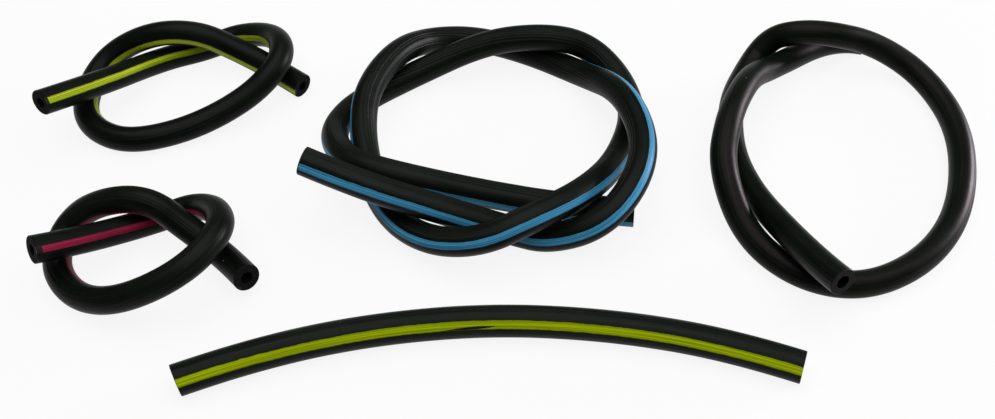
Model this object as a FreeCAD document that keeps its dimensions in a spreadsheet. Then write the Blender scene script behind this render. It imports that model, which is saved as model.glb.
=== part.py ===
import FreeCAD
import Part
import math
import os
import Sketcher
from FreeCAD import Placement, Rotation, Vector

# Five cut lengths of thick-walled rubber hose lie side by side on flat ground.
# Two are tied in an overhand knot, one is wound in an interlaced coil, one lies in a single open loop
# and one lies almost straight. All but the loop have a coloured stripe let into the wall.
# Lengths are in millimetres and angles in degrees. The ground is the plane z = 0.

# Each driving size: name, value, meaning.
SIZES = (
    ("lime_knot_outer", 16.0, "outer diameter"),
    ("lime_knot_bore", 7.0, "bore diameter"),
    ("lime_knot_stripe", 4.6, "stripe width"),
    ("lime_knot_clock", 66.0, "turn of the stripe from the top to the right at the first end"),
    ("lime_knot_x", -210.0, "middle of the hose in the set"),
    ("lime_knot_y", 88.0, "middle of the hose in the set"),
    ("red_knot_outer", 16.0, "outer diameter"),
    ("red_knot_bore", 7.0, "bore diameter"),
    ("red_knot_stripe", 4.2, "stripe width"),
    ("red_knot_clock", 50.0, "turn of the stripe from the top to the right at the first end"),
    ("red_knot_x", -204.0, "middle of the hose in the set"),
    ("red_knot_y", -50.0, "middle of the hose in the set"),
    ("blue_coil_outer", 17.0, "outer diameter"),
    ("blue_coil_bore", 7.5, "bore diameter"),
    ("blue_coil_stripe", 4.8, "stripe width"),
    ("blue_coil_clock", 85.0, "turn of the stripe from the top to the right at the first end"),
    ("blue_coil_x", -20.0, "middle of the hose in the set"),
    ("blue_coil_y", 39.0, "middle of the hose in the set"),
    ("plain_loop_outer", 16.0, "outer diameter"),
    ("plain_loop_bore", 8.0, "bore diameter"),
    ("plain_loop_x", 206.0, "middle of the hose in the set"),
    ("plain_loop_y", 18.0, "middle of the hose in the set"),
    ("lime_length_outer", 18.0, "outer diameter"),
    ("lime_length_bore", 8.0, "bore diameter"),
    ("lime_length_stripe", 5.2, "stripe width"),
    ("lime_length_clock", 50.0, "turn of the stripe from the top to the right at the first end"),
    ("lime_length_x", -11.0, "middle of the hose in the set"),
    ("lime_length_y", -117.0, "middle of the hose in the set"),
    ("stripe_depth", 1.2, "how deep each stripe is let into its wall"),
    ("stripe_clearance", 0.03, "thin gap between a stripe and the sides of its groove"),
    ("ground_flat", 0.5, "how much of each hose is flattened where it lies on the ground"),
)

# Each hose: the outer diameter that its route is laid for, and the route from its first cut end.
# A point is x and y from the hose's own middle, and the rise of the centreline over its lowest lie.
# A hose of another diameter takes a wider or a narrower lie in proportion, so crossings stay clear.
HOSES = {
    "lime_knot": (16.0, (
        (-75.5, -46, 29.5), (-61, -19, 17), (-20, 22, 0), (12, 43.5, 0), (32, 51.5, 0),
        (53, 36.5, 11), (64, 12, 19.5), (60, -5, 15), (43, -12.5, 2), (8, -37.5, 0), (-28, -51, 0),
        (-48.5, -44, 0), (-63.5, -22, 0), (-66, 3, 0), (-53, 32, 3.5), (-24.5, 35, 17.5),
        (10.5, 29.5, 18.5), (23.5, 31, 5.5), (51.5, 18.5, 0), (75, -0.5, 0),
    )),
    "red_knot": (16.0, (
        (-57, -20.5, 27), (-41.5, -1.5, 9), (-4, 22.5, 0), (17, 34.5, 0), (37, 20, 15.5),
        (43.5, -6, 22.5), (28.5, -22, 17), (-7.5, -35, 2), (-38, -34, 0), (-57, -8, 0),
        (-58, 14.5, 1), (-39.5, 30, 12.5), (-0.5, 22, 22.5), (15, 13, 8.5), (41, -3, 0),
        (58.5, -26, 8),
    )),
    "blue_coil": (17.0, (
        (-102, -42.5, 27), (-66.5, -61, 31), (-21, -66, 13), (18, -73, 0), (56, -81.5, 1.5),
        (77, -77.5, 19), (92.5, -60, 18.5), (102.5, -19.5, 18), (95, 15.5, 23.5), (70.5, 58.5, 2),
        (36, 80, 0), (0.5, 93.5, 0), (-22.5, 88, 8), (-55, 61.5, 18), (-68.5, 28.5, 19.5),
        (-71, 5.5, 5), (-65.5, -30, 0), (-49.5, -65, 0), (-25, -88.5, 7), (-3, -94.5, 15),
        (31, -85, 19), (65.5, -59.5, 22.5), (89, -15.5, 0), (100.5, 28, 0), (93.5, 55.5, 0),
        (80, 73.5, 13), (46.5, 72, 24), (6.5, 77.5, 12), (-38, 58, 0), (-76.5, 34.5, 0),
        (-89.5, 13, 1.5), (-88, -11, 7.5), (-76, -34, 17.5), (-49, -47, 20), (6.5, -44, 0),
        (54.5, -57, 0), (93.5, -64.5, 0),
    )),
    "plain_loop": (16.0, (
        (-29.5, -111, 29), (-44.5, -82, 18.5), (-65, -18.5, 6), (-67, 45, 0), (-43, 93, 0),
        (-18.5, 111, 15.5), (2.5, 87, 30), (46, 94.5, 10), (70.5, 73.5, 0), (81, 28, 0),
        (69, -25.5, 0), (34, -75, 0), (-9, -93, 0), (-39.5, -89, 0), (-73.5, -50, 0),
        (-82, -17, 19), (-66, 36.5, 19.5), (-43, 70.5, 13.5), (4.5, 107, 0), (36.5, 111.5, 0),
    )),
    "lime_length": (18.0, (
        (-164, -19.5, 0), (-130.5, -4.5, 0), (-69, 12, 0), (-2, 19.5, 0), (68, 15.5, 0),
        (130.5, 3, 0), (165, -11, 0),
    )),
}
STRIPED = ("lime_knot", "red_knot", "blue_coil", "lime_length")

# A bend takes this share of the shorter of its two runs.
BEND_SHARE = 0.45
# The least gap of a hose to itself is measured between points this far apart along it.
GAP_STEP = 1.5
# Points nearer along the hose than this many diameters belong to one bend and aren't compared.
BEND_DIAMETERS = 3
LEAST_GAP = 0.4


def new_sheet(document):
    """Puts each driving size in a cell of its own name."""
    table = document.addObject("Spreadsheet::Sheet", "sizes")
    for row, (alias, value, meaning) in enumerate(SIZES, start=1):
        table.set("A%d" % row, alias)
        table.set("B%d" % row, "%g" % value)
        table.set("C%d" % row, meaning)
        table.setAlias("B%d" % row, alias)
    return table


doc = FreeCAD.newDocument("hoses")
sheet = new_sheet(doc)
doc.recompute()


def size(alias):
    """Reads a driving size from the sheet."""
    return float(sheet.get(alias))


def route_points(name):
    """Gives a hose's route in its own frame, with its height over the ground."""
    laid_outer, laid = HOSES[name]
    outer = size(name + "_outer")
    scale = outer / laid_outer
    low = outer / 2 - size("ground_flat")
    return [Vector(x * scale, y * scale, low + rise * scale) for x, y, rise in laid]


def bend(before, corner, after):
    """Gives the start, middle, end, radius and turn of the arc that rounds a corner."""
    back = before - corner
    onward = after - corner
    trim = BEND_SHARE * min(back.Length, onward.Length)
    back.normalize()
    onward.normalize()
    turn = math.pi - back.getAngle(onward)
    radius = trim / math.tan(turn / 2)
    inward = (back + onward).normalize()
    middle = corner + inward * (math.hypot(trim, radius) - radius)
    return corner + back * trim, middle, corner + onward * trim, radius, turn


def centreline(points):
    """Joins straight runs by tangent arcs in one wire, and lists the arcs' radii."""
    edges = []
    radii = []
    at = points[0]
    for before, corner, after in zip(points, points[1:], points[2:]):
        start, middle, end, radius, turn = bend(before, corner, after)
        edges.append(Part.LineSegment(at, start).toShape())
        edges.append(Part.Arc(start, middle, end).toShape())
        radii.append(radius)
        at = end
    edges.append(Part.LineSegment(at, points[-1]).toShape())
    return Part.Wire(edges), radii


def first_end(name, points):
    """Stands a section's frame square on the first cut end, turned by the stripe's clock angle."""
    along = (points[1] - points[0]).normalize()
    left = Vector(0, 0, 1).cross(along).normalize()
    up = along.cross(left)
    clock = size(name + "_clock") if name in STRIPED else 0.0
    turned = Rotation(left, up, along, "ZXY").multiply(Rotation(Vector(0, 0, 1), clock))
    return Placement(points[0], turned)


def new_sketch(body, label, offset):
    """Adds a sketch on the body's own XY plane."""
    plane = [item for item in body.Origin.OriginFeatures if item.Role == "XY_Plane"][0]
    sketch = body.newObject("Sketcher::SketchObject", label)
    sketch.AttachmentSupport = [(plane, "")]
    sketch.MapMode = "FlatFace"
    sketch.AttachmentOffset = offset
    return sketch


def dimension(sketch, expression, kind, *places):
    """Adds a sized constraint and ties it to the sheet."""
    index = sketch.addConstraint(Sketcher.Constraint(kind, *places))
    sketch.setExpression(".Constraints[%d]" % index, expression)


def fix(sketch, kind, *places):
    """Adds a constraint that has no size."""
    sketch.addConstraint(Sketcher.Constraint(kind, *places))


def add_circle(sketch, radius, expression):
    """Draws a circle about the sketch's origin."""
    circle = sketch.addGeometry(Part.Circle(Vector(), Vector(0, 0, 1), radius), False)
    fix(sketch, "Coincident", circle, 3, -1, 1)
    dimension(sketch, expression, "Radius", circle, radius)


def add_arc_with_step(sketch, name, half, floor, long_way, half_text, floor_text):
    """Draws an arc of the outer circle closed by a square step: the long way it leaves a groove in
    the wall, and the short way it is the stripe that fills the groove."""
    radius = size(name + "_outer") / 2
    edge = math.sqrt(radius ** 2 - half ** 2)
    right = math.atan2(edge, half)
    left = math.atan2(edge, -half)
    span = (left, right + 2 * math.pi) if long_way else (right, left)
    circle = Part.Circle(Vector(), Vector(0, 0, 1), radius)
    arc = sketch.addGeometry(Part.ArcOfCircle(circle, *span), False)
    corners = (Vector(half, edge), Vector(half, floor), Vector(-half, floor), Vector(-half, edge))
    sides = [
        sketch.addGeometry(Part.LineSegment(one, other), False)
        for one, other in zip(corners, corners[1:])
    ]
    right_side, bottom, left_side = sides
    arc_right, arc_left = (2, 1) if long_way else (1, 2)
    fix(sketch, "Coincident", arc, 3, -1, 1)
    fix(sketch, "Coincident", arc, arc_right, right_side, 1)
    fix(sketch, "Coincident", right_side, 2, bottom, 1)
    fix(sketch, "Coincident", bottom, 2, left_side, 1)
    fix(sketch, "Coincident", left_side, 2, arc, arc_left)
    fix(sketch, "Vertical", right_side)
    fix(sketch, "Vertical", left_side)
    fix(sketch, "Horizontal", bottom)
    dimension(sketch, "sizes.%s_outer / 2" % name, "Radius", arc, radius)
    dimension(sketch, half_text, "DistanceX", -1, 1, right_side, 1, half)
    dimension(sketch, half_text, "DistanceX", left_side, 1, -1, 1, half)
    dimension(sketch, floor_text, "DistanceY", -1, 1, right_side, 2, floor)


def sweep(body, section, path):
    """Draws the section along the whole path without twist."""
    pipe = body.newObject("PartDesign::AdditivePipe", body.Label + "_sweep")
    pipe.Profile = section
    pipe.Spine = (path, [])
    pipe.Mode = "Standard"
    return pipe


def flatten(body, name, path):
    """Cuts away what would reach below the ground."""
    reach = path.Shape.BoundBox.DiagonalLength
    sketch = new_sketch(body, body.Label + "_ground", Placement())
    ground = sketch.addGeometry(Part.Circle(Vector(), Vector(0, 0, 1), reach), False)
    fix(sketch, "Coincident", ground, 3, -1, 1)
    fix(sketch, "Radius", ground, reach)
    pocket = body.newObject("PartDesign::Pocket", body.Label + "_flat")
    pocket.Profile = sketch
    pocket.setExpression("Length", "sizes.%s_outer" % name)
    return pocket


def new_body(name, label):
    """Starts a sub-part at its hose's place in the set."""
    body = doc.addObject("PartDesign::Body", label)
    body.Label = label
    body.setExpression("Placement.Base.x", "sizes.%s_x" % name)
    body.setExpression("Placement.Base.y", "sizes.%s_y" % name)
    return body


def make_wall(name, path, end):
    """Makes a hose's wall with its bore and, where it has a stripe, the stripe's groove."""
    body = new_body(name, name + "_wall")
    section = new_sketch(body, name + "_wall_section", end)
    bore = size(name + "_bore")
    add_circle(section, bore / 2, "sizes.%s_bore / 2" % name)
    if name in STRIPED:
        half = size(name + "_stripe") / 2 + size("stripe_clearance")
        floor = size(name + "_outer") / 2 - size("stripe_depth") - size("stripe_clearance")
        half_text = "sizes.%s_stripe / 2 + sizes.stripe_clearance" % name
        floor_text = "sizes.%s_outer / 2 - sizes.stripe_depth - sizes.stripe_clearance" % name
        add_arc_with_step(section, name, half, floor, True, half_text, floor_text)
    else:
        add_circle(section, size(name + "_outer") / 2, "sizes.%s_outer / 2" % name)
    doc.recompute()
    pipe = sweep(body, section, path)
    doc.recompute()
    ground = flatten(body, name, path)
    doc.recompute()
    flat_volume = pipe.Shape.Volume - ground.Shape.Volume
    if flat_volume <= 0:
        raise RuntimeError(name + " isn't flattened on the ground")
    areas = sorted((Part.Face(wire).Area for wire in section.Shape.Wires), reverse=True)
    area = areas[0] - areas[1]
    length = path.Shape.Length
    print("%s: %.0f mm3 swept, section times length %.0f mm3, flattened by %.0f mm3" % (
        body.Label, pipe.Shape.Volume, area * length, flat_volume))
    return body


def make_stripe(name, path, end):
    """Makes the coloured strip that fills the groove of a hose's wall."""
    body = new_body(name, name + "_stripe")
    section = new_sketch(body, name + "_stripe_section", end)
    half = size(name + "_stripe") / 2
    floor = size(name + "_outer") / 2 - size("stripe_depth")
    half_text = "sizes.%s_stripe / 2" % name
    floor_text = "sizes.%s_outer / 2 - sizes.stripe_depth" % name
    add_arc_with_step(section, name, half, floor, False, half_text, floor_text)
    doc.recompute()
    pipe = sweep(body, section, path)
    doc.recompute()
    lowest = pipe.Shape.optimalBoundingBox().ZMin
    if lowest < 0:
        flatten(body, name, path)
        doc.recompute()
    area = Part.Face(section.Shape.Wires[0]).Area
    print("%s: %.0f mm3 swept, section times length %.0f mm3, lowest point %.2f mm" % (
        body.Label, pipe.Shape.Volume, area * path.Shape.Length, lowest))
    return body


def least_gap(wire, outer):
    """Measures how near a hose comes to itself, between points that lie well apart along it."""
    points = wire.discretize(Distance=GAP_STEP)
    step = wire.Length / (len(points) - 1)
    apart = int(BEND_DIAMETERS * outer / step)
    nearest = min(
        (one.distanceToPoint(other) for i, one in enumerate(points) for other in points[i + apart:]),
        default=math.inf,
    )
    return nearest - outer


def end_report(name, which, end, inner, trimmed):
    """Prints a cut end's centre, its outward direction and the length of its straight stretch."""
    middle = Vector(size(name + "_x"), size(name + "_y"), 0)
    place = end + middle
    outward = (end - inner).normalize()
    print("%s %s end at (%.3f, %.3f, %.3f) facing (%.6f, %.6f, %.6f), straight for %.2f mm" % (
        name, which, *place, *outward, trimmed))


def make_hose(name):
    """Makes one hose's sub-parts round its route."""
    points = route_points(name)
    wire, radii = centreline(points)
    path = doc.addObject("Part::Feature", name + "_path")
    path.Shape = wire
    end = first_end(name, points)
    parts = [make_wall(name, path, end)]
    if name in STRIPED:
        parts.append(make_stripe(name, path, end))
    gap = least_gap(wire, size(name + "_outer"))
    print("%s: length %.1f mm, bend radii %s mm, least gap to itself %.2f mm" % (
        name, wire.Length, ", ".join("%.0f" % radius for radius in radii), gap))
    if gap < LEAST_GAP:
        raise RuntimeError(name + " comes too near itself")
    end_report(name, "first", points[0], points[1], wire.Edges[0].Length)
    end_report(name, "last", points[-1], points[-2], wire.Edges[-1].Length)
    return parts


parts = [part for name in HOSES for part in make_hose(name)]
doc.recompute()

for item in doc.Objects:
    if "Invalid" in item.State or "Error" in item.State:
        raise RuntimeError("%s is left in state %s" % (item.Label, item.State))
for part in parts:
    if part.Shape.isNull() or not part.Shape.isValid() or len(part.Shape.Solids) != 1:
        raise RuntimeError(part.Label + " isn't one sound solid")

os.makedirs("parts", exist_ok=True)
for part in parts:
    part.Shape.exportStep("parts/%s.step" % part.Label)
    print("%s: volume %.0f mm3" % (part.Label, part.Shape.Volume))
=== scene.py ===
import math

import bpy
import numpy as np
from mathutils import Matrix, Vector


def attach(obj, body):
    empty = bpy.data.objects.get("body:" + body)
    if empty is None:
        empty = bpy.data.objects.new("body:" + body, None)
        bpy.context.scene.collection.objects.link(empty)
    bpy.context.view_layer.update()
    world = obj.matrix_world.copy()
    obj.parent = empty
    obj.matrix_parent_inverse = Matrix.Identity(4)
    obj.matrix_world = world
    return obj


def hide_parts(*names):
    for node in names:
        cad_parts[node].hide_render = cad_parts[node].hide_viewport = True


# Five cut lengths of thick-walled rubber hose lie side by side on pale ground: two overhand knots,
# an interlaced coil, an open loop and one almost straight length. Each wall is swept round a
# smooth line with its bore and its cut ends, and all but the loop's have a coloured stripe let in.
# Lengths are in metres and angles in degrees. The ground is the plane z = 0.

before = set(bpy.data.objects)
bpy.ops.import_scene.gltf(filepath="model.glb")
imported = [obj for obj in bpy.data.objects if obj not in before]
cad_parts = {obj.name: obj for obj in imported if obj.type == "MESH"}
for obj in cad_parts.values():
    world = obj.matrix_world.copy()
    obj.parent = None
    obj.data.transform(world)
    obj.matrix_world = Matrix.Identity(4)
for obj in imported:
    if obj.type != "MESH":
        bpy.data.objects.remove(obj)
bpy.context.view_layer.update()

# How much of each hose is flattened where it lies on the ground.
GROUND_FLAT = 0.0005
STRIPE_DEPTH = 0.0012
# Thin gap between a stripe and the sides and floor of its groove.
STRIPE_GAP = 0.00003
# The knife leaves the rim of a cut end this far rounded, and its face this rough and this dull.
CUT_ROUNDING = 0.0003
CUT_ROUGHNESS = 0.00025
CUT_GRAINS_PER_METRE = 900.0
CUT_DULLNESS = 0.85
# A cut that isn't quite square leans the wall over this far from the end.
LEAN_REACH = 0.009
# The skin's slow unevenness: its height, its waves in a metre and its seed.
UNEVENNESS = 0.00016
UNEVENNESS_PER_METRE = 38.0
SEED = 7
# The spread of a section's points in and out of round.
OUT_OF_ROUND = 0.000008
# Half the width of a die line, and how far from its middle no other point lies, in degrees.
DIE_LINE_HALF = 2.4
DIE_LINE_CLEAR = 1.5 * DIE_LINE_HALF
# A bend flattens the hose by a share that grows with the square of its sharpness up to a most.
# Its sharpness is the mean over a short length, of three places or more.
BEND_SHARE = 0.22
MOST_FLATTENED = 0.04
BEND_REACH = 0.012
BEND_PLACES = 3
# The stripe's clock angle is the mean over some places, as far as this to each side.
CLOCK_REACH = 0.02
CLOCK_PLACES = 9

# How many points lie across a groove's floor, round a wall and across a stripe.
FLOOR_POINTS = 7
WALL_POINTS = 66
STRIPE_POINTS = 13
# Where the rings of a cut face lie, from the bore at 0 to the rim at 1.
FACE_SHARES = (0.98, 0.8, 0.6, 0.4, 0.2, 0.04)
# A bore has a ring at each fourth place of its line.
BORE_STRIDE = 4
# Points nearer than this are one point, and edges bent by more than this are sharp.
SAME_PLACE = 1e-6
SHARP_BEND = 40
# Farther than anything in the set, and shorter than any bend's turn that counts.
FAR = 10.0
TINY = 1e-9

# Each hose: its outside, its bore and its stripe's width; its middle in the set; how it lies; its
# line's steps between two route points; the stripe's clock angles from the top to the right, each
# after its way along the hose; the lines that the die left, as angles from the stripe with their
# heights; how its two cuts lean to the right and outwards; its rubber; and its two slots.
HOSES = {
    "lime_knot": dict(
        outer=0.016, bore=0.007, stripe=0.0046, place=(-0.210, 0.088), lay="loose", steps=20,
        clocks=((0, 55), (0.08, 48), (0.11, 50), (0.16, 66), (0.2, 60), (0.33, 50), (0.38, 53),
                (0.42, 60), (0.46, 56), (0.5, 66), (0.53, 62), (0.565, 58)),
        die_lines=((-110, 0.00008), (140, 0.00008)), leans=((0.10, 0.06), (-0.05, 0.08)),
        rubber="dull_rubber", slots=("black_rubber", "lime_stripe")),
    "red_knot": dict(
        outer=0.016, bore=0.007, stripe=0.0042, place=(-0.204, -0.050), lay="loose", steps=20,
        clocks=((0, 53), (0.04, 47), (0.07, 50), (0.1, 58), (0.13, 60), (0.22, 50), (0.27, 39),
                (0.31, 49), (0.36, 57), (0.44, 70)),
        die_lines=((-100, 0.0001), (-86, -0.00016), (-78, 0.00008), (-140, 0.0001),
                   (110, 0.0001)),
        leans=((0.06, -0.05), (0.05, 0.07)),
        rubber="dull_rubber", slots=("black_rubber", "red_stripe")),
    "blue_coil": dict(
        outer=0.017, bore=0.0075, stripe=0.0048, place=(-0.020, 0.039), lay="coiled", steps=24,
        clocks=((0, 65), (0.05, 58), (0.1, 61), (0.15, 60), (0.2, 75), (0.25, 60), (0.31, 58),
                (0.37, 77), (0.44, 100), (0.48, 111), (0.54, 96), (0.61, 72), (0.64, 82),
                (0.69, 89), (0.74, 98), (0.8, 96), (1.2, 153), (1.26, 158), (1.33, 169)),
        die_lines=((-76, 0.00016), (-86, 0.00012), (-96, 0.00018), (-106, 0.00022),
                   (-118, 0.00014), (-150, 0.0001), (75, 0.00016), (85, -0.00012)),
        leans=((-0.07, 0.2), (0.05, 0.0)),
        rubber="black_rubber", slots=("black_rubber", "blue_stripe")),
    "plain_loop": dict(
        outer=0.016, bore=0.008, stripe=None, place=(0.206, 0.018), lay="loose", steps=24,
        clocks=((0, 0), (1, 0)), die_lines=((-70, 0.00008), (50, 0.00008)),
        leans=((0.05, -0.08), (0.0, 0.05)),
        rubber="sheen_rubber", slots=("sheen_rubber", None)),
    "lime_length": dict(
        outer=0.018, bore=0.008, stripe=0.0052, place=(-0.011, -0.117), lay="loose", steps=36,
        clocks=((0, 46), (0.07, 50), (0.12, 47), (0.2, 48), (0.31, 52), (0.34, 50)),
        die_lines=((-48, 0.00008), (-64, 0.00008), (38, 0.00008)),
        leans=((0.07, 0.03), (0.06, -0.04)),
        rubber="black_rubber", slots=("black_rubber", "lime_stripe")),
}

# Each hose's route from its first cut end: x and y from its own middle, and the rise of its middle
# line over its lowest lie.
ROUTES = {
    "lime_knot": (
        (-0.0755, -0.046, 0.0295), (-0.049, -0.0155, 0.017), (-0.0215, 0.026, 0),
        (0.007, 0.0365, 0), (0.025, 0.05, 0), (0.0515, 0.039, 0.0105), (0.0635, 0.016, 0.019),
        (0.0605, -0.004, 0.0175), (0.041, -0.0205, 0.0065), (0.0085, -0.0395, 0),
        (-0.0255, -0.051, 0), (-0.049, -0.043, 0), (-0.063, -0.0245, 0), (-0.0645, 0.0055, 0),
        (-0.0525, 0.0245, 0.0075), (-0.024, 0.028, 0.021), (0.006, 0.029, 0.0205),
        (0.028, 0.027, 0.008), (0.0515, 0.018, 0), (0.075, -0.0005, 0),
    ),
    "red_knot": (
        (-0.0568, -0.0205, 0.028), (-0.037, -0.005, 0.0165), (-0.003, 0.024, 0), (0.0165, 0.035, 0),
        (0.036, 0.0195, 0.0145), (0.044, -0.0055, 0.0265), (0.0285, -0.033, 0.0255),
        (-0.008, -0.0425, 0.0105), (-0.037, -0.0335, 0), (-0.0555, -0.0125, 0),
        (-0.0555, 0.0145, 0.003), (-0.0355, 0.022, 0.018), (-0.003, 0.019, 0.026),
        (0.017, 0.0115, 0.009), (0.041, -0.0035, 0), (0.0568, -0.0228, 0.0055),
    ),
    "blue_coil": (
        (-0.0995, -0.049, 0.0335), (-0.067, -0.0645, 0.031), (-0.021, -0.071, 0.0165),
        (0.021, -0.074, 0), (0.0425, -0.081, 0), (0.0725, -0.0825, 0.0155),
        (0.0945, -0.0565, 0.0245), (0.102, -0.0195, 0.0235), (0.091, 0.021, 0.0225),
        (0.069, 0.0595, 0), (0.0355, 0.0805, 0), (0.0005, 0.0945, 0), (-0.03, 0.09, 0.004),
        (-0.0515, 0.062, 0.0195), (-0.069, 0.0285, 0.018), (-0.072, 0.005, 0.006),
        (-0.0655, -0.0295, 0), (-0.0505, -0.064, 0), (-0.0265, -0.087, 0.006),
        (0.0035, -0.095, 0.016), (0.029, -0.0865, 0.024), (0.066, -0.0615, 0.022),
        (0.0885, -0.016, 0), (0.101, 0.022, 0), (0.0935, 0.0575, 0), (0.0735, 0.076, 0.0105),
        (0.0465, 0.073, 0.0215), (0.006, 0.0755, 0.0145), (-0.0405, 0.0605, 0),
        (-0.0765, 0.0335, 0), (-0.089, 0.013, 0.0005), (-0.088, -0.0105, 0.0085),
        (-0.0755, -0.036, 0.0185), (-0.047, -0.0465, 0.018), (0.0055, -0.0455, 0),
        (0.0545, -0.056, 0), (0.094, -0.0603, 0),
    ),
    "plain_loop": (
        (-0.0295, -0.111, 0.029), (-0.041, -0.0855, 0.019), (-0.067, -0.0105, 0),
        (-0.065, 0.049, 0), (-0.0445, 0.09, 0.0005), (-0.032, 0.1, 0.014),
        (-0.0195, 0.0955, 0.0235), (0.001, 0.092, 0.0265), (0.038, 0.0965, 0.013),
        (0.07, 0.077, 0.0005), (0.0805, 0.027, 0), (0.0645, -0.0335, 0), (0.035, -0.073, 0),
        (-0.0055, -0.094, 0), (-0.0415, -0.087, 0), (-0.069, -0.0585, 0.002),
        (-0.0815, -0.0205, 0.0205), (-0.0745, 0.009, 0.03), (-0.063, 0.0355, 0.028),
        (-0.051, 0.0575, 0.021), (-0.034, 0.0775, 0.0085), (0.017, 0.1175, 0), (0.0365, 0.1115, 0),
    ),
    "lime_length": (
        (-0.1652, -0.0195, 0), (-0.1305, -0.0045, 0), (-0.0695, 0.012, 0), (-0.001, 0.0195, 0),
        (0.0675, 0.0155, 0), (0.1305, 0.0025, 0), (0.1662, -0.0115, 0),
    ),
}

# How each rubber looks.
RUBBERS = {
    "dull_rubber": dict(
        dark=(0.0022, 0.0036, 0.0023), light=(0.0040, 0.0062, 0.0041), dusty=(0.009, 0.011, 0.009),
        cut_face=(0.009, 0.010, 0.009),
        roughness=0.38, gloss_level=0.072, gloss_tint=(1.0, 0.95, 1.0)),
    "black_rubber": dict(
        dark=(0.0023, 0.0038, 0.0025), light=(0.0043, 0.0065, 0.0043), dusty=(0.010, 0.0125, 0.009),
        cut_face=(0.012, 0.013, 0.011),
        roughness=0.42, gloss_level=0.086, gloss_tint=(1.0, 1.0, 1.0)),
    "sheen_rubber": dict(
        dark=(0.0010, 0.0036, 0.0014), light=(0.0026, 0.0058, 0.0030), dusty=(0.009, 0.012, 0.009),
        cut_face=(0.022, 0.021, 0.020),
        roughness=0.41, gloss_level=0.10, gloss_tint=(1.0, 0.68, 0.84)),
}
# How each hose's stripe looks. Black rubber is smeared as far as smear over its start. A flaw's
# start and end are ways along the hose. Its near and far are where its middle starts and ends
# across the stripe, from -1 to 1, and it reaches as far as its thickness to each side of that.
# A stripe's deep tone gives both its darker streaks and the painted shade at its edges.
STRIPES = {
    "lime_knot": dict(
        deep=(0.17, 0.25, 0.003), bright=(0.47, 0.57, 0.020),
        left_edge=(0.10, 0.07, 0.015), right_edge=(0.12, 0.20, 0.004),
        gloss_level=0.20, gloss_tint=(1.0, 1.0, 0.25), smear=0.0012),
    "red_knot": dict(
        deep=(0.14, 0.004, 0.018), bright=(0.34, 0.018, 0.064),
        left_edge=(0.10, 0.004, 0.016), right_edge=(0.14, 0.006, 0.025),
        gloss_level=0.24, gloss_tint=(1.0, 0.40, 0.65), smear=0.0030),
    "blue_coil": dict(
        deep=(0.023, 0.155, 0.28), bright=(0.068, 0.37, 0.62),
        left_edge=(0.05, 0.28, 0.46), right_edge=(0.008, 0.05, 0.14),
        gloss_level=0.26, gloss_tint=(0.70, 0.72, 1.0), smear=0.0010),
    "lime_length": dict(
        deep=(0.19, 0.26, 0.0010), bright=(0.40, 0.50, 0.003),
        left_edge=(0.18, 0.25, 0.002), right_edge=(0.10, 0.15, 0.002),
        gloss_level=0.15, gloss_tint=(0.9, 1.0, 0.1), smear=0.0003,
        flaw=dict(start=0.1365, end=0.1745, near=1.0, far=0.28, thickness=0.36)),
}
DUST = (0.30, 0.30, 0.28)
# Black rubber that bled over a stripe's edge, that the knife smeared, and that is drawn as a flaw.
BLED_BLACK = (0.006, 0.006, 0.005)
SMEARED_BLACK = (0.006, 0.007, 0.006)
FLAW_BLACK = (0.004, 0.004, 0.004)
# A smear's line is soft over this far to each side, and ragged.
SMEAR_SOFT = 0.0002
SMEAR_RAGGED = 0.002
# Painted shade: a stripe is darkened towards its deep tone at its edges, where it turns away round
# the tube, by up to this share.
PAINTED_EDGE_SHADE = 0.75


# Nodes

def feed(tree, socket, value):
    """Joins a node's input to another node's output, or sets it to a plain value."""
    if isinstance(value, bpy.types.NodeSocket):
        tree.links.new(value, socket)
    else:
        socket.default_value = value


def add(tree, kind, feeds=None, give=None, **settings):
    """Adds a node with its settings, feeds its inputs, and gives its named or first output."""
    node = tree.nodes.new(kind)
    for key, value in settings.items():
        setattr(node, key, value)
    inputs = [socket for socket in node.inputs if socket.enabled]
    for key, value in (feeds or {}).items():
        if isinstance(key, int):
            socket = inputs[key]
        else:
            socket = next(item for item in inputs if item.name == key)
        feed(tree, socket, value)
    outputs = [socket for socket in node.outputs if socket.enabled]
    return next(item for item in outputs if give in (None, item.name))


def calc(tree, operation, *values, clamp=False):
    """Adds a sum on numbers."""
    feeds = dict(enumerate(values))
    return add(tree, "ShaderNodeMath", feeds, operation=operation, use_clamp=clamp)


def vector_calc(tree, operation, *values, give=None):
    """Adds a sum on vectors."""
    feeds = dict(enumerate(values))
    return add(tree, "ShaderNodeVectorMath", feeds, give=give, operation=operation)


def scaled(tree, vector, factor):
    """Adds a vector times a number."""
    result = vector_calc(tree, "SCALE", vector)
    feed(tree, result.node.inputs["Scale"], factor)
    return result


def noise(tree, place, scale, detail=2.0, **feeds):
    """Adds a soft random pattern with values from 0 to 1."""
    given = {"Vector": place, "Scale": scale, "Detail": detail, **feeds}
    dimensions = "4D" if "W" in feeds else "3D"
    return add(tree, "ShaderNodeTexNoise", given, noise_dimensions=dimensions)


def swing(tree, pattern, width, middle=0.0):
    """Adds a value that a pattern from 0 to 1 swings over a width round a middle."""
    return calc(tree, "MULTIPLY_ADD", calc(tree, "SUBTRACT", pattern, 0.5), width, middle)


def step(tree, value, low, high):
    """Adds a smooth step from 0 below low to 1 above high."""
    feeds = {"Value": value, "From Min": low, "From Max": high}
    return add(tree, "ShaderNodeMapRange", feeds, give="Result", interpolation_type="SMOOTHSTEP")


# Sweeping a section along a hose

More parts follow.
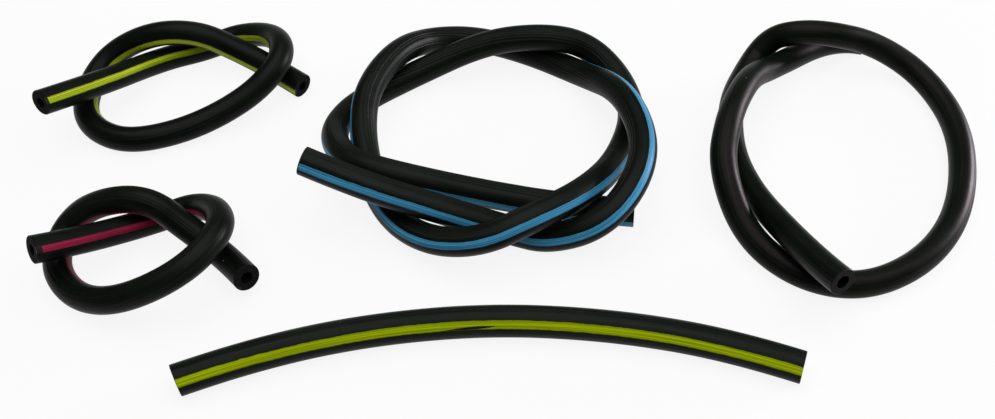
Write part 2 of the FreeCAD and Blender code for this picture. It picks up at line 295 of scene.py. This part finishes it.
def sweep_tree():
    """Builds the tree that sweeps a closed section over a row of rings.

    The tree's mesh has one loose point for each ring, with its frame, its share of the way from
    the section's core to its rim, its rounding, its cut mask and its lean. With Closed ring at 1,
    the last ring joins the first, as a wall's does through its bore."""
    tree = bpy.data.node_groups.new("hose_sweep", "GeometryNodeTree")
    tree.is_modifier = True
    for name, kind in (
        ("Rings", "Geometry"), ("Section", "Object"), ("Closed ring", "Int"),
        ("Unevenness", "Float"), ("Unevenness per metre", "Float"),
        ("Cut roughness", "Float"), ("Cut grains per metre", "Float"),
        ("Seed", "Int"), ("Skin", "Material"),
    ):
        tree.interface.new_socket(name, in_out="INPUT", socket_type="NodeSocket" + kind)
    tree.interface.new_socket("Piece", in_out="OUTPUT", socket_type="NodeSocketGeometry")
    given = tree.nodes.new("NodeGroupInput").outputs
    rings = given["Rings"]
    section = add(tree, "GeometryNodeObjectInfo", {"Object": given["Section"]}, give="Geometry")
    ring_count, side_count = (
        add(tree, "GeometryNodeAttributeDomainSize", {"Geometry": item}, give="Point Count")
        for item in (rings, section)
    )

    # The grid has a row for each ring. Each row ends where it began, on the section's first point.
    across = calc(tree, "ADD", side_count, 1.0)
    grid = add(tree, "GeometryNodeMeshGrid", {
        "Vertices X": calc(tree, "ADD", ring_count, given["Closed ring"]), "Vertices Y": across,
    }, give="Mesh")
    index = add(tree, "GeometryNodeInputIndex")
    # Half a point more keeps a row's first point in its own row.
    row = calc(tree, "FLOOR", calc(tree, "DIVIDE", calc(tree, "ADD", index, 0.5), across))
    column = calc(tree, "SUBTRACT", index, calc(tree, "MULTIPLY", row, across))
    ring = calc(tree, "MODULO", row, ring_count)
    side = calc(tree, "MODULO", column, side_count)

    def read(source, name, place, kind):
        """Reads an attribute at one numbered point of the rings or the section."""
        value = add(tree, "GeometryNodeInputNamedAttribute", {"Name": name}, data_type=kind)
        feeds = {"Geometry": source, "Value": value, "Index": place}
        return add(tree, "GeometryNodeSampleIndex", feeds, data_type=kind)

    centre, right, outward, along, draw, lean = (
        read(rings, name, ring, "FLOAT_VECTOR")
        for name in ("position", "right", "outward", "along", "draw", "lean")
    )
    reach, inset, cut, way = (
        read(rings, name, ring, "FLOAT") for name in ("reach", "inset", "cut", "way")
    )
    rim, core = (read(section, name, side, "FLOAT_VECTOR") for name in ("position", "core"))

    # A rounded rim is drawn in, and a bend draws the section in along its radius.
    rim_length = vector_calc(tree, "LENGTH", rim, give="Value")
    kept = calc(tree, "SUBTRACT", 1.0, calc(tree, "DIVIDE", inset, rim_length))
    rounded = scaled(tree, rim, kept)
    flat = add(tree, "ShaderNodeMix", {0: reach, 1: core, 2: rounded}, data_type="VECTOR")
    towards = vector_calc(tree, "DOT_PRODUCT", flat, draw, give="Value")
    flat = vector_calc(tree, "SUBTRACT", flat, scaled(tree, draw, towards))
    parts = add(tree, "ShaderNodeSeparateXYZ", {0: flat}, give="X").node.outputs
    offset = vector_calc(
        tree, "ADD", scaled(tree, right, parts["X"]), scaled(tree, outward, parts["Y"]))
    place = vector_calc(tree, "ADD", centre, offset)
    # The unevenness moves the skin in and out, and a cut face is leaning and rough.
    wave = noise(tree, place, given["Unevenness per metre"], W=given["Seed"])
    swell = calc(tree, "MULTIPLY", swing(tree, wave, given["Unevenness"]), reach)
    swollen = scaled(tree, vector_calc(tree, "NORMALIZE", offset), swell)
    leaning = vector_calc(tree, "DOT_PRODUCT", flat, lean, give="Value")
    grit = noise(tree, place, given["Cut grains per metre"], W=given["Seed"])
    torn = calc(tree, "MULTIPLY", swing(tree, grit, given["Cut roughness"]), cut)
    forward = scaled(tree, along, calc(tree, "ADD", leaning, torn))
    place = vector_calc(tree, "ADD", vector_calc(tree, "ADD", place, swollen), forward)
    # The rubber lies flat where it meets the ground.
    place = vector_calc(tree, "MAXIMUM", place, (-FAR, -FAR, 0.0))

    shape = add(tree, "GeometryNodeSetPosition", {"Geometry": grid, "Position": place})
    for name, value, kind in (
        ("around", flat, "FLOAT_VECTOR"), ("way", way, "FLOAT"),
        ("cut", cut, "FLOAT"), ("reach", reach, "FLOAT"),
    ):
        feeds = {"Geometry": shape, "Name": name, "Value": value}
        shape = add(tree, "GeometryNodeStoreNamedAttribute", feeds, data_type=kind, domain="POINT")
    shape = add(tree, "GeometryNodeMergeByDistance", {"Geometry": shape, "Distance": SAME_PLACE})
    bend = add(tree, "GeometryNodeInputMeshEdgeAngle", give="Unsigned Angle")
    sharp = calc(tree, "GREATER_THAN", bend, math.radians(SHARP_BEND))
    feeds = {"Geometry": shape, "Selection": sharp, "Shade Smooth": False}
    shape = add(tree, "GeometryNodeSetShadeSmooth", feeds, domain="EDGE")
    shape = add(tree, "GeometryNodeRealizeInstances", {"Geometry": shape})
    shape = add(tree, "GeometryNodeSetMaterial", {"Geometry": shape, "Material": given["Skin"]})
    end = tree.nodes.new("NodeGroupOutput")
    tree.links.new(shape, end.inputs["Piece"])
    return tree


SWEEP = sweep_tree()
SWEEP_INPUTS = {
    item.name: item.identifier for item in SWEEP.interface.items_tree if item.in_out == "INPUT"
}


def linked(name, data):
    """Puts new data in the scene as an object at the origin."""
    item = bpy.data.objects.new(name, data)
    bpy.context.scene.collection.objects.link(item)
    return item


def plain_mesh(item):
    """Gives an object's evaluated shape as a plain mesh."""
    graph = bpy.context.evaluated_depsgraph_get()
    return bpy.data.meshes.new_from_object(item.evaluated_get(graph))


def put(mesh, name, values):
    """Stores numbers or vectors on a mesh's points."""
    values = np.asarray(values, np.float32)
    kind, key = ("FLOAT_VECTOR", "vector") if values.ndim == 2 else ("FLOAT", "value")
    mesh.attributes.new(name, kind, "POINT").data.foreach_set(key, values.ravel())


def loose_points(name, places):
    """Makes a mesh of loose points."""
    mesh = bpy.data.meshes.new(name)
    mesh.vertices.add(len(places))
    mesh.vertices.foreach_set("co", np.asarray(places, np.float32).ravel())
    return mesh


def smooth_line(name, hose):
    """Reads points from the smooth line that a hose's route draws."""
    curve = bpy.data.curves.new(name + "_route", "CURVE")
    curve.dimensions = "3D"
    spline = curve.splines.new("NURBS")
    spline.points.add(len(ROUTES[name]) - 1)
    low = hose["outer"] / 2 - GROUND_FLAT
    for knot, (x, y, rise) in zip(spline.points, ROUTES[name]):
        knot.co = (hose["place"][0] + x, hose["place"][1] + y, low + rise, 1)
    spline.order_u = 3
    spline.use_endpoint_u = True
    spline.resolution_u = hose["steps"]
    route = linked(name + "_route", curve)
    mesh = plain_mesh(route)
    places = np.empty(len(mesh.vertices) * 3)
    mesh.vertices.foreach_get("co", places)
    places = places.reshape(-1, 3)
    bpy.data.objects.remove(route)
    bpy.data.meshes.remove(mesh)
    apart = np.linalg.norm(np.diff(places, axis=0), axis=1) > SAME_PLACE
    return places[np.concatenate([[True], apart])]


def unit(vectors):
    """Gives each vector at length 1."""
    return vectors / np.linalg.norm(vectors, axis=-1, keepdims=True)


def line_frames(places, clocks):
    """Carries a frame along a line without twist, and turns its outward axis to the stripe."""
    steps = np.diff(places, axis=0)
    lengths = np.linalg.norm(steps, axis=1)
    way = np.concatenate([[0], np.cumsum(lengths)])
    runs = unit(steps)
    along = unit(np.concatenate([runs[:1], unit(runs[1:] + runs[:-1]), runs[-1:]]))
    left = unit(np.cross([0, 0, 1], along[0]))
    carried = [np.cross(along[0], left)]
    # The frame is mirrored twice at each step, which turns it no more than the line turns.
    for i, move in enumerate(steps):
        square = move @ move
        mirrored = carried[-1] - 2 / square * (move @ carried[-1]) * move
        heading = along[i] - 2 / square * (move @ along[i]) * move
        second = along[i + 1] - heading
        carried.append(mirrored - 2 / (second @ second) * (second @ mirrored) * second)
    up = unit(np.array(carried))
    side = np.cross(along, up)
    # The clock angle eases from one given place to the next.
    nearby = way[:, None] + np.linspace(-CLOCK_REACH, CLOCK_REACH, CLOCK_PLACES)
    angle = np.radians(np.interp(nearby, *np.transpose(clocks)).mean(1))[:, None]
    outward = np.cos(angle) * up + np.sin(angle) * side
    right = np.cross(along, outward)
    return dict(at=places, way=way, along=along, outward=outward, right=right)


def drawn_in(line, outer):
    """Finds how far and which way each bend draws the section in, in the section's own axes."""
    turn = np.gradient(line["along"], line["way"], axis=0)
    window = max(BEND_PLACES, int(BEND_REACH / line["way"][-1] * len(turn)))
    kernel = np.ones(window) / window
    turn = np.stack([np.convolve(axis, kernel, "same") for axis in turn.T], 1)
    sharpness = np.linalg.norm(turn, axis=1) * outer / 2
    share = np.minimum(BEND_SHARE * sharpness ** 2, MOST_FLATTENED)
    axes = np.stack([(turn * line[key]).sum(1) for key in ("right", "outward")], 1)
    axes /= np.maximum(np.linalg.norm(axes, axis=1), TINY)[:, None]
    return np.column_stack([axes * np.sqrt(share)[:, None], np.zeros(len(axes))])


def ring_points(name, line, hose, rows):
    """Makes the row of loose points, one for each ring, that the sweep reads.

    A row holds the place's number on the line, a shift along it, the reach, the rounding and the
    cut mask."""
    index = np.array([row[0] for row in rows])
    shift, reach, inset, cut = np.array([row[1:] for row in rows], float).T
    way = line["way"][index] + shift
    mesh = loose_points(name, line["at"][index] + line["along"][index] * shift[:, None])
    for key in ("right", "outward", "along"):
        put(mesh, key, line[key][index])
    put(mesh, "draw", drawn_in(line, hose["outer"])[index])
    first, last = (np.array([*lean, 0.0]) for lean in hose["leans"])
    near_first = np.clip(1 - way / LEAN_REACH, 0, 1) ** 2
    near_last = np.clip(1 - (line["way"][-1] - way) / LEAN_REACH, 0, 1) ** 2
    put(mesh, "lean", near_first[:, None] * first + near_last[:, None] * last)
    for key, values in (("reach", reach), ("inset", inset), ("cut", cut), ("way", way)):
        put(mesh, key, values)
    return mesh


def outside_rows(line):
    """Lists the rings of an outer skin from the first cut to the last."""
    total = line["way"][-1]
    last = len(line["way"]) - 1
    inner = [
        (i, 0, 1, 0, 0) for i in range(1, last)
        if 2 * CUT_ROUNDING < line["way"][i] < total - 2 * CUT_ROUNDING
    ]
    return [
        (0, 0, 1, CUT_ROUNDING, 0), (0, CUT_ROUNDING, 1, 0, 0), *inner,
        (last, -CUT_ROUNDING, 1, 0, 0), (last, 0, 1, CUT_ROUNDING, 0),
    ]


def wall_rows(line):
    """Lists a wall's rings: along the outside, in over the last cut, back through the bore and
    out over the first."""
    last = len(line["way"]) - 1
    inward = [(last, 0, share, CUT_ROUNDING, 1) for share in FACE_SHARES]
    places = range(last - BORE_STRIDE, BORE_STRIDE, -BORE_STRIDE)
    bore = [(i, 0, 0, 0, 0) for i in (last, *places, 0)]
    outwards = [(0, 0, share, CUT_ROUNDING, 1) for share in reversed(FACE_SHARES)]
    return outside_rows(line) + inward + bore + outwards


def stripe_rows(line):
    """Lists a stripe's rings: closed in to its middle at both cuts."""
    last = len(line["way"]) - 1
    return [(0, 0, 0, CUT_ROUNDING, 1), *outside_rows(line), (last, 0, 0, CUT_ROUNDING, 1)]


def section_object(name, rim, core):
    """Makes a section of loose points in its own plane, with the core that each closes to."""
    mesh = loose_points(name, np.column_stack([rim, np.zeros(len(rim))]))
    put(mesh, "core", np.column_stack([core, np.zeros(len(core))]))
    return linked(name, mesh)


def wall_section(name, hose):
    """Draws a wall's section: the groove's floor from left to right, then round the outside.

    Points lie a hair in and out of round, and each die line is a narrow ridge or groove."""
    radius = hose["outer"] / 2
    if hose["stripe"]:
        half = hose["stripe"] / 2 + STRIPE_GAP
        edge = math.degrees(math.asin(half / radius))
        floor = np.column_stack([
            np.linspace(-half, half, FLOOR_POINTS),
            np.full(FLOOR_POINTS, radius - STRIPE_DEPTH - STRIPE_GAP),
        ])
        angles = np.linspace(edge, 360 - edge, WALL_POINTS)
    else:
        floor = np.empty((0, 2))
        angles = np.linspace(0, 360, WALL_POINTS, endpoint=False)
    heights = np.random.default_rng(sum(map(ord, name))).normal(0, OUT_OF_ROUND, len(angles))
    # The edges of the groove stay in round.
    heights[[0, -1]] = 0
    for angle, height in hose["die_lines"]:
        angle %= 360
        clear = abs(angles - angle) > DIE_LINE_CLEAR
        angles = np.concatenate([angles[clear], angle + DIE_LINE_HALF * np.array([-1, 0, 1])])
        heights = np.concatenate([heights[clear], [0, height, 0]])
    order = np.argsort(angles)
    angles, heights = np.radians(angles[order]), heights[order]
    arc = np.column_stack([np.sin(angles), np.cos(angles)]) * (radius + heights)[:, None]
    rim = np.concatenate([floor, arc])
    return section_object(name, rim, unit(rim) * hose["bore"] / 2)


def stripe_section(name, hose):
    """Draws a stripe's section: its skin from left to right, and its underside back."""
    radius = hose["outer"] / 2
    x = np.linspace(-hose["stripe"] / 2, hose["stripe"] / 2, STRIPE_POINTS)
    skin = np.column_stack([x, np.sqrt(radius ** 2 - x ** 2)])
    under = np.column_stack([x, np.full(STRIPE_POINTS, radius - STRIPE_DEPTH)])
    middle = (skin + under) / 2
    return section_object(
        name, np.concatenate([skin, under[::-1]]), np.concatenate([middle, middle[::-1]]))


def swept_piece(name, line, hose, rows, section, skin, closed):
    """Sweeps a section over its rings and keeps the result as a plain mesh."""
    rings = linked(name, ring_points(name + "_rings", line, hose, rows))
    modifier = rings.modifiers.new("sweep", "NODES")
    modifier.node_group = SWEEP
    for key, value in (
        ("Section", section), ("Closed ring", closed),
        ("Unevenness", UNEVENNESS), ("Unevenness per metre", UNEVENNESS_PER_METRE),
        ("Cut roughness", CUT_ROUGHNESS), ("Cut grains per metre", CUT_GRAINS_PER_METRE),
        ("Seed", SEED), ("Skin", skin),
    ):
        modifier[SWEEP_INPUTS[key]] = value
    mesh = plain_mesh(rings)
    rings.modifiers.remove(modifier)
    old = rings.data
    rings.data = mesh
    mesh.name = name
    bpy.data.meshes.remove(old)
    bpy.data.objects.remove(section)
    return rings


# Finishes

def new_skin(name):
    """Starts a material and gives it with its tree and its shader."""
    material = bpy.data.materials.new(name)
    material.use_nodes = True
    tree = material.node_tree
    shader = next(node for node in tree.nodes if node.type == "BSDF_PRINCIPLED")
    return material, tree, shader


def attribute(tree, name, give="Fac"):
    """Adds a reading of what the sweep stored on its points."""
    return add(tree, "ShaderNodeAttribute", give=give, attribute_name=name)


def colour(parts):
    """Gives a colour's red, green and blue as a solid colour."""
    return (*parts, 1.0)


def blend(tree, share, one, other):
    """Mixes two colours."""
    return add(tree, "ShaderNodeMix", {0: share, 1: one, 2: other}, data_type="RGBA")


def lengthwise(tree, across, along):
    """Gives a place that changes fast round the hose and slowly along it."""
    around = scaled(tree, attribute(tree, "around", give="Vector"), across)
    way = calc(tree, "MULTIPLY", attribute(tree, "way"), along)
    return vector_calc(tree, "ADD", around, add(tree, "ShaderNodeCombineXYZ", {"Z": way}))


def coat(tree, shader, tone, roughness, gloss_level, gloss_tint):
    """Gives a skin its colour and its gloss."""
    tree.links.new(tone, shader.inputs["Base Color"])
    tree.links.new(roughness, shader.inputs["Roughness"])
    shader.inputs["Specular IOR Level"].default_value = gloss_level
    shader.inputs["Specular Tint"].default_value = colour(gloss_tint)


def emboss(tree, shader, layers, strength, distance):
    """Bumps a skin by patterns, each with its share of the height."""
    height = 0.0
    for pattern, share in layers:
        height = calc(tree, "MULTIPLY_ADD", pattern, share, height)
    feeds = {"Strength": strength, "Distance": distance, "Height": height}
    tree.links.new(add(tree, "ShaderNodeBump", feeds), shader.inputs["Normal"])


def dust_share(tree, place):
    """Masks a few specks of dust: a small round in some of a pattern's cells."""
    dot = add(tree, "ShaderNodeTexVoronoi", {"Vector": place, "Scale": 75.0}, give="Distance")
    lot = add(tree, "ShaderNodeSeparateColor", {0: dot.node.outputs["Color"]}, give="Red")
    outside = step(tree, dot, low=0.022, high=0.034)
    chosen = step(tree, lot, low=0.88, high=0.89)
    return calc(tree, "MULTIPLY", chosen, calc(tree, "SUBTRACT", 1.0, outside))


def rubber_skin(name, dark, light, dusty, cut_face, roughness, gloss_level, gloss_tint):
    """Makes satin extruded rubber: fine die lines along it, grain, dull and dusty patches."""
    material, tree, shader = new_skin(name)
    place = add(tree, "ShaderNodeTexCoord", give="Object")
    cut = attribute(tree, "cut")
    lines = noise(tree, lengthwise(tree, across=1000.0, along=10.0), scale=1.0, detail=3.0)
    grain = noise(tree, place, scale=1400.0, detail=4.0)
    patches = noise(tree, place, scale=38.0, detail=3.0)
    tone = blend(tree, step(tree, patches, low=0.35, high=0.7), colour(dark), colour(light))
    tone = blend(tree, step(tree, lines, low=0.56, high=0.72), tone, colour(dusty))
    tone = blend(tree, dust_share(tree, place), tone, colour(DUST))
    # A cut face is grainy, from half its tone to the whole.
    dim_face = [part / 2 for part in cut_face]
    face = blend(tree, step(tree, grain, low=0.3, high=0.7), colour(dim_face), colour(cut_face))
    tone = blend(tree, cut, tone, face)
    gloss = swing(tree, patches, width=0.16, middle=roughness)
    gloss = swing(tree, lines, width=0.12, middle=gloss)
    gloss = calc(tree, "MAXIMUM", gloss, calc(tree, "MULTIPLY", cut, CUT_DULLNESS))
    coat(tree, shader, tone, gloss, gloss_level, gloss_tint)
    emboss(tree, shader, ((lines, 0.7), (grain, 0.5)), strength=0.5, distance=0.00014)
    return material


def flaw_share(tree, x, start, end, near, far, thickness):
    """Masks a lens of black rubber drawn over a stripe, from a point at start to one at end."""
    way = attribute(tree, "way")
    share = calc(tree, "DIVIDE", calc(tree, "SUBTRACT", way, start), end - start, clamp=True)
    middle = calc(tree, "MULTIPLY_ADD", share, far - near, near)
    # The lens is thickest at two thirds, where this product is 4 / 27.
    left = calc(tree, "SUBTRACT", 1.0, share)
    swell = calc(tree, "MULTIPLY", calc(tree, "MULTIPLY", share, share), left)
    half = calc(tree, "MULTIPLY", swell, thickness / (4 / 27))
    off = calc(tree, "ABSOLUTE", calc(tree, "SUBTRACT", x, middle))
    return step(tree, calc(tree, "SUBTRACT", half, off), low=0.0, high=0.08)


def stripe_skin(
        name, width, deep, bright, left_edge, right_edge, gloss_level, gloss_tint, smear,
        flaw=None):
    """Makes the coloured rubber of a stripe: streaked along it, darkened towards its edges by
    painted shade, and bled in at its edges.
    """
    material, tree, shader = new_skin(name)
    place = add(tree, "ShaderNodeTexCoord", give="Object")
    lines = noise(tree, lengthwise(tree, across=2200.0, along=8.0), scale=1.0, detail=3.0)
    grain = noise(tree, place, scale=1200.0, detail=3.0)
    # How far across the stripe a point is, from -1 to 1, and how near to its two ragged edges.
    around = attribute(tree, "around", give="Vector")
    x = calc(
        tree, "DIVIDE", add(tree, "ShaderNodeSeparateXYZ", {0: around}, give="X"), width / 2)
    ragged = noise(tree, lengthwise(tree, across=300.0, along=220.0), scale=1.0, detail=3.0)
    ragged = swing(tree, ragged, width=0.3)
    right = calc(tree, "ADD", x, ragged)
    left = calc(tree, "SUBTRACT", ragged, x)
    away = calc(tree, "MAXIMUM", right, left)
    tone = blend(tree, step(tree, lines, low=0.38, high=0.60), colour(deep), colour(bright))
    # Painted shade: the stripe is darkened towards its edges, where its surface turns away round
    # the tube.
    shade = calc(tree, "MULTIPLY", step(tree, away, low=0.30, high=1.0), PAINTED_EDGE_SHADE)
    tone = blend(tree, shade, tone, colour(deep))
    tone = blend(tree, step(tree, left, low=0.74, high=0.90), tone, colour(left_edge))
    tone = blend(tree, step(tree, right, low=0.74, high=0.90), tone, colour(right_edge))
    tone = blend(tree, step(tree, away, low=0.90, high=1.00), tone, colour(BLED_BLACK))
    if flaw:
        tone = blend(tree, flaw_share(tree, x, **flaw), tone, colour(FLAW_BLACK))
    # The knife smears black rubber over the stripe's cut ends.
    way = calc(tree, "MULTIPLY_ADD", ragged, SMEAR_RAGGED, attribute(tree, "way"))
    clean = calc(
        tree, "MULTIPLY", step(tree, attribute(tree, "reach"), low=0.90, high=0.99),
        step(tree, way, low=smear - SMEAR_SOFT, high=smear + SMEAR_SOFT))
    tone = blend(tree, clean, colour(SMEARED_BLACK), tone)
    coat(tree, shader, tone, swing(tree, grain, width=0.2, middle=0.52), gloss_level, gloss_tint)
    emboss(tree, shader, ((lines, 0.8), (grain, 0.3)), strength=0.3, distance=0.0001)
    return material


SKINS = {name: rubber_skin(name, **look) for name, look in RUBBERS.items()}


# The hoses

def make_hose(name):
    """Makes a hose's wall and stripe, puts them on the hose's body, and hides the imported parts
    they stand for.
    """
    hose = HOSES[name]
    line = line_frames(smooth_line(name, hose), hose["clocks"])
    rubber_slot, stripe_slot = hose["slots"]
    skin = SKINS[hose["rubber"]]
    section = wall_section(name + "_wall_section", hose)
    wall = swept_piece(
        name + "_hose_wall", line, hose, wall_rows(line), section, skin, closed=1)
    if stripe_slot:
        skin = stripe_skin(name + "_" + stripe_slot, hose["stripe"], **STRIPES[name])
        section = stripe_section(name + "_stripe_section", hose)
        stripe = swept_piece(
            name + "_hose_stripe", line, hose, stripe_rows(line), section, skin, closed=0)
        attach(stripe, name)
        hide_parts(name + "_stripe")
    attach(wall, name)
    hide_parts(name + "_wall")


# The camera stands where the photograph was taken from.
view = bpy.data.cameras.new("camera")
view.sensor_width = 36.0
view.lens = 39.8
camera = linked("camera", view)
camera.location = (-0.007, -0.43891, 0.50877)
camera.rotation_euler = (math.radians(40), 0, 0)
bpy.context.scene.camera = camera
bpy.context.scene.view_settings.view_transform = "Standard"

for hose_name in HOSES:
    make_hose(hose_name)


# Ground, lamps and world

WHITE = (1.0, 1.0, 1.0)
GROUND_GREY = (0.8, 0.8, 0.8)
# How much of the ground's look is plain white. The rest is lit, and keeps a soft shadow.
GROUND_WHITE_SHARE = 0.88
GROUND_HALF = 4
GROUND_DROP = 0.0002
WORLD_LIGHT = 0.15


def white_ground():
    """Makes the pale ground, which looks near white to the camera and keeps a soft shadow."""
    material, tree, shader = new_skin("white_ground")
    shader.inputs["Base Color"].default_value = colour(GROUND_GREY)
    shader.inputs["Roughness"].default_value = 0.9
    shader.inputs["Specular IOR Level"].default_value = 0.0
    rays = tree.nodes.new("ShaderNodeLightPath").outputs
    seen = calc(tree, "MAXIMUM", rays["Is Camera Ray"], rays["Is Glossy Ray"])
    seen = calc(tree, "MAXIMUM", seen, rays["Is Transmission Ray"])
    share = calc(tree, "MULTIPLY", seen, GROUND_WHITE_SHARE)
    white = add(tree, "ShaderNodeEmission", {"Color": colour(WHITE), "Strength": 1.0})
    mixed = add(tree, "ShaderNodeMixShader", {0: share, 1: shader.outputs["BSDF"], 2: white})
    end = next(node for node in tree.nodes if node.type == "OUTPUT_MATERIAL")
    tree.links.new(mixed, end.inputs["Surface"])
    return material


ground_mesh = bpy.data.meshes.new("ground")
corners = [
    (GROUND_HALF * x, GROUND_HALF * y, -GROUND_DROP)
    for x, y in ((-1, -1), (1, -1), (1, 1), (-1, 1))
]
ground_mesh.from_pydata(corners, [], [(0, 1, 2, 3)])
ground_mesh.materials.append(white_ground())
ground = linked("ground", ground_mesh)


def lamp(name, place, width, height, power, tint=WHITE):
    """Hangs a soft rectangular lamp that faces the middle of the set."""
    light = bpy.data.lights.new(name, "AREA")
    light.shape = "RECTANGLE"
    light.size, light.size_y = width, height
    light.energy = power
    light.color = tint
    item = linked(name, light)
    item.location = place
    item.rotation_euler = (-Vector(place)).to_track_quat("-Z", "Y").to_euler()


lamp("top_lamp", (0.1, 0.1, 1.7), width=2.4, height=1.9, power=34.0)
lamp(
    "right_lamp", (1.8, 0.75, 0.3), width=0.5, height=0.35, power=30.0, tint=(1.0, 0.95, 1.0))

world = bpy.data.worlds.new("studio")
world.use_nodes = True
background = world.node_tree.nodes["Background"].inputs
background["Color"].default_value = colour(WHITE)
background["Strength"].default_value = WORLD_LIGHT
bpy.context.scene.world = world

bpy.context.view_layer.update()
